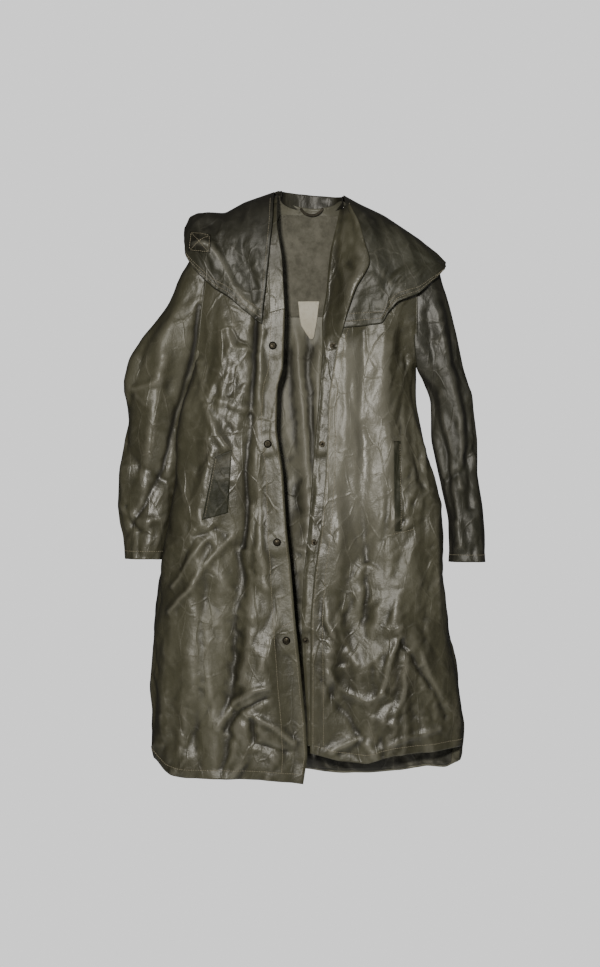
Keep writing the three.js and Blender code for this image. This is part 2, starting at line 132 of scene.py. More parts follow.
sleeve_outer = lines(12, [
    (-100, -240), (-140, -251), (-168, -270), (-198, -282), (-232, -298), (-266, -325), (-295, -348),
    (-340, -375), (-381, -385), (-404, -387), (-440, -381), (-469, -378), (-502, -387), (-577, -398),
    (-639, -401), (-675, -397), (-696, -391), (-746, -385),
], [
    (-130, 246), (-186, 259), (-231, 273), (-290, 288), (-359, 303), (-410, 318), (-506, 331), (-574, 331),
    (-638, 341), (-696, 346), (-752, 345),
])
sleeve_inner = lines(20, [
    (-226, -226), (-340, -238), (-389, -252), (-450, -268), (-516, -276), (-600, -280), (-649, -285),
    (-690, -295), (-746, -308),
], [
    (-200, 209), (-362, 209), (-422, 234), (-504, 235), (-595, 254), (-666, 270), (-752, 272),
])
CUFF = {RIGHT: -0.746, LEFT: -0.752}
FOLD_LINE = {RIGHT: ((-62, -300), (-250, -1182)), LEFT: ((50, -300), (230, -1134))}
roll_line = Line(20, [
    (-30, 54), (-45, 50), (-78, 43), (-125, 31), (-170, 26), (-210, 23), (-262, 14), (-332, 15), (-420, 8),
    (-520, -1), (-685, -13), (-777, -23), (-862, -27), (-946, -24), (-1069, -15), (-1130, -15),
])
STUD_COUNT, STUD_PITCH, TOP_STUD = 4, 0.196, -0.318

# ---- small helpers


def step(value, low, high):
    """0 below low, 1 above high and smooth between them."""
    t = np.clip((value - low) / (high - low), 0, 1)
    return t * t * (3 - 2 * t)


def grid(columns, rows, start=0):
    """Shares across, from start to 1, and shares down, from 0 to 1."""
    return np.meshgrid(np.linspace(start, 1, columns), np.linspace(0, 1, rows))


def neighbours(values, reach=1, mode="edge", **options):
    """Mean of the four values that lie reach steps from each one in a grid."""
    sides = [(reach, reach)] * 2 + [(0, 0)] * (values.ndim - 2)
    p = np.pad(values, sides, mode, **options)
    inner, low, high = slice(reach, -reach), slice(None, -2 * reach), slice(2 * reach, None)
    return (p[low, inner] + p[high, inner] + p[inner, low] + p[inner, high]) / 4


def between(values, x, y):
    """Values of a grid at columns x and rows y that lie between whole ones."""
    i, j = x.astype(int), y.astype(int)
    fx, fy = ((share[..., None] if values.ndim > 2 else share) for share in (x - i, y - j))
    top = values[j, i] * (1 - fx) + values[j, i + 1] * fx
    low = values[j + 1, i] * (1 - fx) + values[j + 1, i + 1] * fx
    return top * (1 - fy) + low * fy


# ---- crumpled cloth

FIELD_LOW, FIELD_HIGH = np.array([-0.8, -1.45]), np.array([0.8, 0.25])
FIELD_STEP = 0.0025


class Facets:
    """Random heights from -1 to 1 at scattered points, joined by flat triangles as in crumpled oilskin."""

    def __init__(self, seed, cell_u, cell_v, lean=0.0):
        rng = np.random.default_rng(seed)
        cell = np.array([cell_u, cell_v])
        count = np.ceil((FIELD_HIGH - FIELD_LOW) / cell).astype(int) + 4
        at = np.stack(np.meshgrid(np.arange(count[0]), np.arange(count[1])), -1).reshape(-1, 2).astype(float)
        at += rng.uniform(-0.46, 0.46, at.shape)
        heights = rng.uniform(-1, 1, len(at))
        places = delaunay_2d_cdt([Vector(p) for p in at], [], [], 0, 1e-9)
        corners = np.array([tuple(p) for p in places[0]])
        values = heights[[ids[0] for ids in places[3]]]
        shape = np.ceil((FIELD_HIGH - FIELD_LOW) / FIELD_STEP).astype(int) + 2
        self.grid = np.zeros((shape[1], shape[0]))
        corners = FIELD_LOW + (corners - 1.5) * cell
        corners[:, 0] += lean * corners[:, 1]
        corners = (corners - FIELD_LOW) / FIELD_STEP
        for face in places[2]:
            self.fill(corners[list(face)], values[list(face)])
        self.grid = (2 * neighbours(self.grid) + self.grid) / 3

    def fill(self, corners, values):
        """Writes one flat triangle into the grid."""
        low = np.maximum(np.floor(corners.min(0)).astype(int), 0)
        high = np.minimum(np.ceil(corners.max(0)).astype(int), np.array(self.grid.shape[::-1]) - 1)
        if (high < low).any():
            return
        x, y = np.meshgrid(np.arange(low[0], high[0] + 1), np.arange(low[1], high[1] + 1))
        square = np.vstack([corners.T, np.ones(3)])
        if abs(np.linalg.det(square)) < 1e-9:
            return
        weights = np.linalg.solve(square, np.stack([x.ravel(), y.ravel(), np.ones(x.size)]))
        inside = (weights >= -1e-6).all(0).reshape(x.shape)
        block = self.grid[low[1]:high[1] + 1, low[0]:high[0] + 1]
        block[inside] = (values @ weights).reshape(x.shape)[inside]

    def __call__(self, u, v):
        rows, columns = self.grid.shape
        x = np.clip((u - FIELD_LOW[0]) / FIELD_STEP, 0, columns - 2.001)
        y = np.clip((v - FIELD_LOW[1]) / FIELD_STEP, 0, rows - 2.001)
        return between(self.grid, x, y)


LONG = [Facets(11, 0.075, 0.34, 0.05), Facets(12, 0.064, 0.30, -0.08)]
BROAD = [Facets(21, 0.046, 0.076, 0.2), Facets(22, 0.042, 0.070, -0.2)]
PLEATS = [Facets(51, 0.017, 0.080, 0.10), Facets(52, 0.015, 0.074, -0.08)]
MIDDLE = [Facets(31, 0.019, 0.028, -0.3), Facets(32, 0.017, 0.026, 0.3)]
FINE = [Facets(41, 0.009, 0.012), Facets(42, 0.008, 0.011)]


def crumple(u, v, which=0, long=0.010, broad=0.006, pleats=0.0020, middle=0.0016, fine=0.0007):
    """Height of the crumpled surface over its smooth shape, rougher in some places than in others."""
    warp = 0.007 * MIDDLE[which](u + 0.3, v)
    rough = 0.30 + 0.85 * step(BROAD[1 - which](0.5 * u + 0.2, 0.5 * v), -0.5, 0.6)
    small = pleats * PLEATS[which](u, v) + middle * MIDDLE[which](u, v) + fine * FINE[which](u, v)
    return long * LONG[which](u + warp, v) + broad * BROAD[which](u, v + warp) + rough * small


def fold(x, z, points, width, height):
    """A ridge, or a valley where height is negative, along a line of (x, z) points in millimetres."""
    route = np.array(points, float) * MM
    nearest = np.full(np.shape(x), 9.0)
    x = x + 0.005 * BROAD[0](x, z) + 0.002 * MIDDLE[1](x, z)
    for (ax, az), (bx, bz) in zip(route[:-1], route[1:]):
        dx, dz = bx - ax, bz - az
        along = np.clip(((x - ax) * dx + (z - az) * dz) / (dx * dx + dz * dz), 0, 1)
        nearest = np.minimum(nearest, np.hypot(x - ax - along * dx, z - az - along * dz))
    t = nearest / (width * MM)
    swell = 0.75 + 0.45 * BROAD[1](x * 0.3, z * 0.7)
    return height * swell * MM * np.exp(-1.2 * np.maximum(t - 0.12, 0) ** 1.5)


def folds(x, z, table):
    return sum(fold(x, z, points, width, height) for points, width, height in table)


# ---- panels of cloth


class Panel:
    """A grid of points in the middle of a layer of cloth, with unit normals that face outwards."""

    def __init__(self, points, outward):
        self.p = points
        self.n = self.normals(outward)
        self.pale = 0.0             # painted light over the facing shade: from -1, painted shade in a deep fold, to 1, painted sheen

    def normals(self, outward):
        """Unit normals on the side of outward, which is one direction or one for each point."""
        across = np.gradient(self.p, axis=1)
        along = np.gradient(self.p, axis=0)
        n = np.cross(across, along)
        n /= np.linalg.norm(n, axis=2, keepdims=True) + 1e-12
        return n * (1 if (n * outward).sum(2).mean() > 0 else -1)

    def raise_by(self, height):
        """Moves each point out along its normal and works out the new normals."""
        self.p = self.p + self.n * height[..., None]
        self.n = self.normals(self.n)
        return self

    def arc(self):
        """Distance along each row from its first point."""
        gaps = np.linalg.norm(np.diff(self.p, axis=1), axis=2)
        return np.concatenate([np.zeros((len(gaps), 1)), np.cumsum(gaps, 1)], 1)

    def at(self, u, v):
        """Points and normals at shares u across and v down the grid."""
        rows, columns = self.p.shape[:2]
        x = np.clip(np.asarray(u, float) * (columns - 1), 0, columns - 1.001)
        y = np.clip(np.asarray(v, float) * (rows - 1), 0, rows - 1.001)
        return between(self.p, x, y), between(self.n, x, y)


def grid_faces(rows, columns):
    index = np.arange(rows * columns).reshape(rows, columns)
    return np.stack([index[:-1, :-1], index[:-1, 1:], index[1:, 1:], index[1:, :-1]], -1).reshape(-1, 4)


def mesh_object(name, points, faces, materials):
    mesh = bpy.data.meshes.new(name)
    mesh.from_pydata([tuple(p) for p in points], [], [tuple(int(i) for i in f) for f in faces])
    for material in materials:
        mesh.materials.append(material)
    mesh.polygons.foreach_set("use_smooth", [True] * len(mesh.polygons))
    obj = bpy.data.objects.new(name, mesh)
    bpy.context.scene.collection.objects.link(obj)
    return obj


def ridges_and_creases_of(panel):
    """How far each point stands out from its neighbours, from -1 in a crease to 1 on a ridge."""
    around = neighbours(panel.p, 2, "reflect", reflect_type="odd")
    return np.clip(((panel.p - around) * panel.n).sum(2) / 0.0016, -1, 1)


def facing_shade_of(panel):
    """Painted shade: 0 where the cloth turns away to a side, 1 where it faces forward or back, with a soft
    change.
    """
    facing = np.abs(panel.n[..., 1])
    for _ in range(6):
        facing = neighbours(facing)
    return step(facing, 0.30, 0.98)


def cloth(name, panel, look, thickness, keep):
    """Closed cloth of a panel. look is its outside, on the side that the normals face, and its inside."""
    faces = grid_faces(*panel.p.shape[:2])
    if keep is not None:
        faces = faces[keep.reshape(-1)]
    points = panel.p.reshape(-1, 3)
    a, b, c = points[faces[:, 0]], points[faces[:, 1]], points[faces[:, 2]]
    facing = (np.cross(b - a, c - a) * panel.n.reshape(-1, 3)[faces[:, 0]]).sum(1)
    if np.median(facing) < 0:
        faces = faces[:, ::-1]
    obj = mesh_object(name, points, faces, look)
    # The first attribute holds rubbed ridges and painted shade in creases; the second holds painted shade,
    # where the cloth turns aside and in folds, and painted sheen.
    for key, values in (("wear_and_crease_shade", ridges_and_creases_of(panel)), ("shade_and_sheen", facing_shade_of(panel) + panel.pale)):
        layer_of_values = obj.data.attributes.new(key, "FLOAT", "POINT")
        layer_of_values.data.foreach_set("value", values.reshape(-1).astype(np.float32))
    solid = obj.modifiers.new("cloth", "SOLIDIFY")
    solid.thickness = thickness
    solid.offset = -1
    solid.material_offset = 1
    graph = bpy.context.evaluated_depsgraph_get()
    mesh = bpy.data.meshes.new_from_object(obj.evaluated_get(graph))
    obj.modifiers.clear()
    obj.data = mesh
    return obj


def section(share):
    """Depth of a body's section, from 1 in the middle to 0 at a share of 1 across."""
    return (1 - np.clip(share, 0, 1) ** SECTION_POWER) ** (1 / SECTION_POWER)


def rounded(drop):
    """A quarter round, from 0 at no drop to 1 at a drop of 1 and more."""
    return np.sqrt(1 - (1 - np.clip(drop, 0, 1)) ** 2)


def body_depth(face, x, z):
    """Distance of the body's cloth from the shoulder plane."""
    reach = np.where(x < 0, -body_edge[RIGHT](z), body_edge[LEFT](z))
    reach = reach * (1 + 0.16 * step(z, ARMPIT, ARMPIT + 0.09))
    depth = FRONT_DEPTH if face == "front" else BACK_DEPTH
    return depth * section(np.abs(x) / reach) * rounded((shoulder_line(x) - z) / SHOULDER_ROUNDING)


def near(x, z, places, radius):
    """1 at any of the (x, z) places and 0 beyond radius of them."""
    gap = np.full(np.shape(x), 9.0)
    for px, pz in places:
        gap = np.minimum(gap, np.hypot(x - px, z - pz))
    return 1 - step(gap, radius * 0.45, radius)


def doubled(distance, width=0.016, height=0.0012):
    """How far a folded edge swells at a distance from it."""
    return height * np.exp(-(distance / width) ** 4)


# ---- materials


def nodes_of(name):
    material = bpy.data.materials.new(name)
    material.use_nodes = True
    tree = material.node_tree
    return material, tree, tree.nodes["Principled BSDF"]


def fill(node, inputs):
    """Links or sets a node's inputs, each of which is a socket or a plain value."""
    for name, value in inputs.items():
        if isinstance(value, bpy.types.NodeSocket):
            node.id_data.links.new(value, node.inputs[name])
        else:
            node.inputs[name].default_value = value


def add(tree, kind, inputs, **settings):
    """A new shader node. settings are its properties."""
    node = tree.nodes.new("ShaderNode" + kind)
    for name, value in settings.items():
        setattr(node, name, value)
    fill(node, inputs)
    return node


def add_noise(tree, scale, detail, roughness=0.6, stretch=(1, 1, 1), distortion=0.0):
    """Noise in the object's own coordinates, and those coordinates."""
    place = add(tree, "TexCoord", {})
    vector = add(tree, "Mapping", {"Scale": stretch, "Vector": place.outputs["Object"]}).outputs["Vector"]
    noise = add(tree, "TexNoise", {"Scale": scale, "Detail": detail, "Roughness": roughness,
                                   "Distortion": distortion, "Vector": vector})
    return noise.outputs["Fac"], vector


def ramp(tree, value, stops):
    """A colour for each value, blended between stops of (value, colour)."""
    node = add(tree, "ValToRGB", {"Fac": value})
    for _ in stops[2:]:
        node.color_ramp.elements.new(0.5)
    for element, (position, colour) in zip(node.color_ramp.elements, stops):
        element.position = position
        element.color = (*colour, 1)
    return node.outputs["Color"]


def mixed(tree, factor, a, b):
    """Mixes two colours. Each is a socket or a colour, and factor a socket or a number."""
    a, b = ((*colour, 1) if isinstance(colour, tuple) else colour for colour in (a, b))
    return add(tree, "Mix", {0: factor, 6: a, 7: b}, data_type="RGBA").outputs[2]


def spread(tree, value, low, high, to_low, to_high):
    """Maps low to to_low, high to to_high and what lies between to between."""
    inputs = {"Value": value, "From Min": low, "From Max": high, "To Min": to_low, "To Max": to_high}
    return add(tree, "MapRange", inputs).outputs["Result"]


def painted(tree, base, coats):
    """Adds coats of colour. Each is a value, the spread of it that is the coat's strength, and a colour."""
    for value, low, high, to_low, to_high, colour in coats:
        base = mixed(tree, spread(tree, value, low, high, to_low, to_high), base, colour)
    return base


def attribute(tree, name):
    return add(tree, "Attribute", {}, attribute_name=name).outputs["Fac"]


def bumps(tree, heights):
    """A normal from chained bump nodes. Each height is (socket, distance in metres, strength)."""
    inputs = {}
    for height, distance, strength in heights:
        inputs.update({"Height": height, "Distance": distance, "Strength": strength})
        inputs["Normal"] = add(tree, "Bump", inputs).outputs["Normal"]
    return inputs["Normal"]


def crackle(tree, vector, scale, wander=0.0):
    """Fine broken creases: the distance to the edges of random cells, whose edges wander."""
    if wander:
        noise = add(tree, "TexNoise", {"Scale": scale * 0.45, "Detail": 3.0, "Vector": vector})
        vector = mixed(tree, wander, vector, noise.outputs["Color"])
    cells = add(tree, "TexVoronoi", {"Scale": scale, "Vector": vector}, feature="DISTANCE_TO_EDGE")
    return cells.outputs["Distance"]


def combined(tree, operation, a, b):
    return add(tree, "Math", {0: a, 1: b}, operation=operation).outputs["Value"]


# Colours laid over proofed cloth. Stains, cracks and rubbed ridges are the cloth's own; the last three are
# painted light: sheen, shade in creases and shade where the cloth turns aside.
STAIN = (0.170, 0.160, 0.120)
CRACKED = (0.190, 0.180, 0.140)
RUBBED = (0.220, 0.212, 0.170)
PAINTED_SHEEN = (0.215, 0.208, 0.168)
CREASE_SHADE = (0.010, 0.009, 0.006)
SHADE = (0.009, 0.008, 0.006)


def oilskin(name, colours, gloss, shine=0.48):
    """Proofed cloth, mottled in three colours, rubbed pale on ridges and finely cracked, with painted shade
    in creases and where it turns aside, and painted sheen.
    """
    material, tree, shader = nodes_of(name)
    dark, middle, pale = colours
    broad, vector = add_noise(tree, 7.0, 5.0, 0.6, (1, 1, 0.55))
    small, _ = add_noise(tree, 55.0, 5.0, 0.65)
    grain, _ = add_noise(tree, 420.0, 3.0)
    stains, _ = add_noise(tree, 16.0, 7.0, 0.7, (1, 1, 0.4), 0.6)
    wear_and_crease_shade, shade_and_sheen = attribute(tree, "wear_and_crease_shade"), attribute(tree, "shade_and_sheen")
    creased = spread(tree, crackle(tree, vector, 26.0, 0.035), 0.0, 0.050, 1.0, 0.0)
    creased = combined(tree, "MULTIPLY", creased, spread(tree, stains, 0.40, 0.60, 0.0, 1.0))
    base = ramp(tree, broad, [(0.30, dark), (0.52, middle), (0.74, pale)])
    base = painted(tree, base, [
        (small, 0.35, 0.70, 0.0, 0.55, middle),
        (stains, 0.56, 0.72, 0.0, 0.45, STAIN),
        (creased, 0.0, 1.0, 0.0, 0.20, CRACKED),
        (wear_and_crease_shade, 0.05, 0.9, 0.0, 0.50, RUBBED),
        # These three coats are painted light: shade in creases, shade where the cloth turns aside or lies in
        # a fold, and sheen.
        (wear_and_crease_shade, -0.9, -0.05, 0.70, 0.0, CREASE_SHADE),
        (shade_and_sheen, 0.0, 1.0, 0.78, 0.0, SHADE),
        (shade_and_sheen, 1.0, 2.0, 0.0, 0.75, PAINTED_SHEEN),
    ])
    worn_smooth = spread(tree, broad, 0.30, 0.72, gloss - 0.04, gloss + 0.16)
    dull = spread(tree, shade_and_sheen, 0.0, 0.6, 0.40, 0.0)
    rough = combined(tree, "ADD", worn_smooth, dull)
    bump = bumps(tree, [
        (creased, 0.0014, 0.45),
        (small, 0.0022, 0.45),
        (crackle(tree, vector, 95.0), 0.0010, 0.35),
        (grain, 0.0003, 0.45),
    ])
    fill(shader, {"Base Color": base, "Roughness": rough, "Specular IOR Level": shine, "Normal": bump})
    return material


def woven(name, dark, pale, scale, rough=0.85, fleck=(0.2, 0.18, 0.14)):
    """Matt woven cloth: two crossed threads with mottled colour."""
    material, tree, shader = nodes_of(name)
    broad, vector = add_noise(tree, 9.0, 5.0)
    fine, _ = add_noise(tree, 260.0, 4.0, 0.7)
    patchy, _ = add_noise(tree, 48.0, 6.0, 0.72)
    base = mixed(tree, spread(tree, broad, 0.32, 0.68, 0.0, 1.0), dark, pale)
    base = painted(tree, base, [
        (fine, 0.55, 0.80, 0.0, 0.35, fleck),
        (patchy, 0.36, 0.52, 0.55, 0.0, dark),
        (patchy, 0.52, 0.66, 0.0, 0.45, fleck),
        # Painted shade in creases.
        (attribute(tree, "wear_and_crease_shade"), -0.9, 0.0, 0.45, 0.0, tuple(c * 0.35 for c in dark)),
    ])
    threads = {"Scale": scale, "Distortion": 0.5, "Detail": 1.0, "Vector": vector}
    waves = [add(tree, "TexWave", threads, bands_direction=direction) for direction in ("X", "Z")]
    weave = [(wave.outputs["Fac"], 0.0004, 0.35) for wave in waves]
    bump = bumps(tree, [(patchy, 0.0030, 0.6), *weave, (fine, 0.0003, 0.4)])
    fill(shader, {"Base Color": base, "Roughness": rough, "Specular IOR Level": 0.25, "Normal": bump})
    return material


def brass():
    """Tarnished brass, all but black where it is thickest."""
    material, tree, shader = nodes_of("aged_brass")
    tarnish, _ = add_noise(tree, 300.0, 5.0)
    stops = [(0.38, (0.016, 0.015, 0.011)), (0.62, (0.042, 0.037, 0.027)), (0.84, (0.17, 0.15, 0.11))]
    rough = spread(tree, tarnish, 0.3, 0.7, 0.58, 0.38)
    bump = bumps(tree, [(tarnish, 0.0003, 0.4)])
    base = ramp(tree, tarnish, stops)
    fill(shader, {"Base Color": base, "Roughness": rough, "Metallic": 1.0, "Normal": bump})
    return material


def thread():
    material, tree, shader = nodes_of("thread")
    twist, _ = add_noise(tree, 600.0, 3.0, 0.5)
    base = ramp(tree, twist, [(0.3, (0.26, 0.23, 0.16)), (0.7, (0.52, 0.47, 0.35))])
    fill(shader, {"Base Color": base, "Roughness": 0.8, "Normal": bumps(tree, [(twist, 0.0002, 0.5)])})
    return material


OUTER = oilskin("oilskin", [(0.038, 0.036, 0.022), (0.076, 0.073, 0.045), (0.125, 0.121, 0.083)], 0.33)
# A darker copy of the same oilskin for the cape and the left sleeve: painted shade.
SHADED_COLOURS = [(0.024, 0.024, 0.015), (0.046, 0.046, 0.029), (0.080, 0.080, 0.056)]
SHADED_OUTER = oilskin("oilskin_shaded", SHADED_COLOURS, 0.40)
# The trim's dark tone is partly its own colour and partly painted shade for the turned-up hem strips.
TRIM = oilskin("oilskin_trim", [(0.016, 0.015, 0.010), (0.030, 0.029, 0.018), (0.054, 0.052, 0.036)], 0.40)
WELT_COLOURS = [(0.020, 0.021, 0.013), (0.034, 0.036, 0.022), (0.050, 0.053, 0.034)]
WELT_CLOTH = oilskin("oilskin_welt", WELT_COLOURS, 0.42, 0.16)
INNER_COLOURS = [(0.072, 0.069, 0.048), (0.130, 0.126, 0.090), (0.195, 0.190, 0.148)]
INNER = oilskin("oilskin_inside", INNER_COLOURS, 0.38)
BACKING_WORN = (0.23, 0.222, 0.18)
BACKING = woven("cloth_backing", (0.078, 0.075, 0.056), (0.172, 0.166, 0.132), 240.0, 0.80, BACKING_WORN)
TAPE = woven("loop_tape", (0.030, 0.026, 0.018), (0.052, 0.046, 0.033), 320.0)
COTTON = woven("label_cotton", (0.60, 0.56, 0.45), (0.80, 0.77, 0.65), 420.0, 0.9, (0.5, 0.44, 0.33))
BRASS = brass()
THREAD = thread()

# The outside and the inside that cloth has in each of the record's material slots.
LOOKS = {
    "oilskin": (OUTER, INNER),
    "oilskin_trim": (TRIM, TRIM),
    "cloth_backing": (BACKING, BACKING),
    "loop_tape": (TAPE, TAPE),
    "label_cotton": (COTTON, COTTON),
}
SHADED_LOOK = (SHADED_OUTER, INNER)

# ---- pieces


def place(obj, slot, nodes=(), body="torso", span=None):
    """Rides a piece on its body, or, given a span, bakes its placement into its mesh and leaves it
    unattached.
    """
    if nodes:
        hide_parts(*nodes)
    if span:
        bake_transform(obj)
    else:
        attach(obj, body)


def layer(name, panel, slot, body="torso", span=None, nodes=None, look=None, thickness=CLOTH, keep=None):
    """Cloth of a panel, in place of its CAD nodes or of the one that is named like it."""
    nodes = [name.replace("_cloth", "")] if nodes is None else nodes
    place(cloth(name, panel, look or LOOKS[slot], thickness, keep), slot, nodes, body, span)


STITCH_PITCH, STITCH_LENGTH, STITCH_RADIUS = 0.0048, 0.0034, 0.00050
STITCH_RINGS = [(0.0, 0.25), (0.3, 1.0), (0.7, 1.0), (1.0, 0.25)]      # share along a stitch, height there


def stitches(name, routes, body="torso", span=None):
    """Rows of sewn stitches. Each route is an array of points on the cloth and one of normals."""
    points, faces = [], []
    for route, normals in routes:
        gaps = np.concatenate([[0], np.cumsum(np.linalg.norm(np.diff(route, axis=0), axis=1))])
        for start in np.arange(STITCH_PITCH / 2, gaps[-1] - STITCH_LENGTH, STITCH_PITCH):
            first, last = (np.array([np.interp(s, gaps, route[:, k]) for k in range(3)])
                           for s in (start, start + STITCH_LENGTH))
            up = np.array([np.interp(start, gaps, normals[:, k]) for k in range(3)])
            up /= np.linalg.norm(up) + 1e-9
            side = np.cross(last - first, up)
            side *= STITCH_RADIUS / (np.linalg.norm(side) + 1e-12)
            base = len(points)
            for share, rise in STITCH_RINGS:
                middle = first * (1 - share) + last * share
                for across, lift in ((-1, -0.4), (0, rise), (1, -0.4)):
                    points.append(middle + side * across + up * lift * STITCH_RADIUS * 1.3)
            for a in (base, base + 3, base + 6):
                faces += [(a, a + 1, a + 4, a + 3), (a + 1, a + 2, a + 5, a + 4), (a + 2, a, a + 3, a + 5)]
            faces += [(base, base + 2, base + 1), (base + 9, base + 10, base + 11)]
    obj = mesh_object(name, points, faces, [THREAD])
    bm = bmesh.new()
    bm.from_mesh(obj.data)
    bmesh.ops.recalc_face_normals(bm, faces=bm.faces)
    bm.to_mesh(obj.data)
    bm.free()
    place(obj, "oilskin_trim", (), body, span)


def route_on(panel, us, vs, lift=CLOTH * 0.5):
    """Points and normals of a line on a panel, through shares us across and vs down."""
    points, normals = panel.at(us, vs)
    return points + normals * lift, normals


# ---- shapes of the coat's panels


def locate(panel, x, z):
    """Shares across and down a panel of the points nearest to places (x, z) seen from the front."""
    px, pz = panel.p[..., 0], panel.p[..., 2]
    rows, columns = px.shape
    us, vs = [], []
    for gx, gz in zip(np.atleast_1d(x), np.atleast_1d(z)):
        u = 0.5
        for _ in range(8):
            column = pz[:, int(round(u * (columns - 1)))]
            v = np.interp(-gz, -column, np.linspace(0, 1, rows))
            row = px[int(round(v * (rows - 1)))]
            order = 1 if row[-1] > row[0] else -1
            u = np.interp(gx, row[::order], np.linspace(0, 1, columns)[::order])
        us.append(u)
        vs.append(v)
    return np.array(us), np.array(vs)


def patch_on(panel, corners, columns, rows, lift):
    """A small panel over another. Its corners go from the top inner one round to the bottom inner one."""
    (ax, az), (bx, bz), (cx, cz), (dx, dz) = np.array(corners, float) * MM
    s, t = grid(columns, rows)
    x = (ax * (1 - s) + bx * s) * (1 - t) + (dx * (1 - s) + cx * s) * t
    z = (az * (1 - s) + bz * s) * (1 - t) + (dz * (1 - s) + cz * s) * t
    us, vs = locate(panel, x.reshape(-1), z.reshape(-1))
    points, normals = panel.at(us, vs)
    return Panel((points + normals * lift).reshape(rows, columns, 3), panel.n.mean((0, 1)))


def strip_in(panel, u0, u1, v0, v1, columns, rows, lift):
    """A layer sewn over a part of a panel, from u0 to u1 across and v0 to v1 down."""
    u, v = np.meshgrid(np.linspace(u0, u1, columns), np.linspace(v0, v1, rows))
    points, normals = panel.at(u, v)
    return Panel(points + normals * lift, panel.n.mean((0, 1)))


DEEP_FOLD = {
    "front": [(-121, -262), (-120, -358), (-127, -472), (-136, -587), (-140, -720)],
    "sleeve": [(-230, -236), (-240, -300), (-254, -372), (-272, -440), (-308, -564), (-340, -638),
               (-369, -678)],
}
FRONT_FOLDS = {RIGHT: [
    (DEEP_FOLD["front"], 8, -9),
    ([(-128, -640), (-132, -800), (-134, -900), (-146, -990)], 9, 7),
    ([(-108, -270), (-109, -400), (-114, -540), (-112, -690), (-100, -800)], 10, 8),
    ([(-170, -250), (-196, -480), (-236, -740), (-262, -1130)], 30, 7),
    ([(-98, -800), (-104, -900), (-92, -1000)], 22, 6),
    ([(-150, -720), (-164, -900), (-182, -1160)], 20, -8),
    ([(-215, -700), (-226, -900), (-234, -1120)], 16, -6),
    ([(-286, -860), (-300, -980), (-302, -1100)], 16, 6),
    ([(-292, -850), (-250, -800), (-205, -740), (-170, -700)], 8, 6),
    ([(-286, -800), (-250, -745), (-214, -705)], 7, 5),
    ([(-270, -765), (-236, -700), (-200, -684)], 7, -5),
    ([(-236, -350), (-216, -440), (-176, -520)], 9, 6),
    ([(-205, -420), (-160, -440), (-128, -446)], 8, 5),
    ([(-190, -1080), (-160, -1030), (-120, -1005), (-96, -1000)], 7, 6),
    ([(-175, -1085), (-146, -1044), (-100, -1020)], 6, -5),
    ([(-126, -1055), (-80, -1082), (-46, -1110)], 7, 6),
    ([(-126, -1055), (-118, -1110), (-60, -1128)], 7, -5),
], LEFT: [
    ([(62, -300), (54, -560), (40, -860), (24, -1000)], 14, 5),
    ([(98, -290), (94, -560), (104, -860)], 14, -7),
    ([(140, -270), (148, -480), (150, -780), (160, -880)], 20, 7),
    ([(176, -290), (206, -420), (214, -640), (222, -860)], 14, -8),
    ([(196, -270), (222, -420), (238, -640), (250, -860)], 12, 7),
    ([(44, -855), (62, -905), (84, -952)], 8, 6),
    ([(18, -985), (50, -1040), (92, -1100)], 9, -8),
    ([(32, -975), (60, -1012), (104, -1030), (134, -1012)], 8, 6),
    ([(168, -898), (150, -950), (132, -1010)], 8, 7),
    ([(168, -898), (200, -960), (236, -1010), (262, -1060)], 8, -6),
    ([(180, -930), (176, -1000), (150, -1070)], 8, 5),
    ([(30, -1128), (90, -1098), (118, -1140)], 8, 6),
    ([(122, -1128), (180, -1100), (250, -1084)], 8, 6),
]}


def stud_places(side):
    offset = -0.022 if side == RIGHT else -0.010
    heights = [TOP_STUD - STUD_PITCH * n for n in range(STUD_COUNT)]
    return [(float(front_edge[side](z)) + offset, z) for z in heights]


def front(side):
    """A whole front, from the shoulder line and the front edge to the hem and the side seam."""
    u, v = grid(84, 372)
    z = -0.02 - 1.15 * v
    for _ in range(6):
        inner = front_edge[side](z)
        x = inner + (body_edge[side](z) - inner) * np.sin(u * math.pi / 2)
        z = shoulder_line(x) * (1 - v) + front_hem[side](x) * v
    panel = Panel(np.stack([x, -body_depth("front", x, z), z], -1), (0, -1, 0))
    along = panel.arc()
    edge_stiff = 0.35 + 0.65 * step(along, 0.006, 0.05)
    under_cape = 0.35 + 0.65 * step(-z, 0.22, 0.31)
    at_seam = step(1 - u, 0.0, 0.09)
    calm = 1 - 0.95 * near(x, z, stud_places(side), 0.034)
    if side == RIGHT:
        height = crumple(-along - 0.06, z, 0)
    else:
        pleated = step(-z, 0.24, 0.30) * (1 - step(-z, 0.62, 0.80))
        height = crumple(along + 0.06, z, 1, pleats=0.0022 + 0.0022 * pleated)
    height = height * edge_stiff + folds(x, z, FRONT_FOLDS[side])
    height *= under_cape * at_seam * calm
    # Painted shade along the right front's deep fold; painted sheen on the left front's upper pleats.
    if side == RIGHT:
        panel.pale = -np.clip(fold(x, z, DEEP_FOLD["front"], 5, 1000), 0, 1)
    else:
        # Painted sheen where the upper pleats of the left front face the light.
        panel.pale = 0.9 * step(-z, 0.29, 0.33) * (1 - step(-z, 0.52, 0.84)) * step(x, -0.01, 0.03)
        panel.pale *= 1 - step(x, 0.11, 0.19)
    return panel.raise_by(height + doubled((1 - v) * 1.1) + doubled(along, height=0.0010))


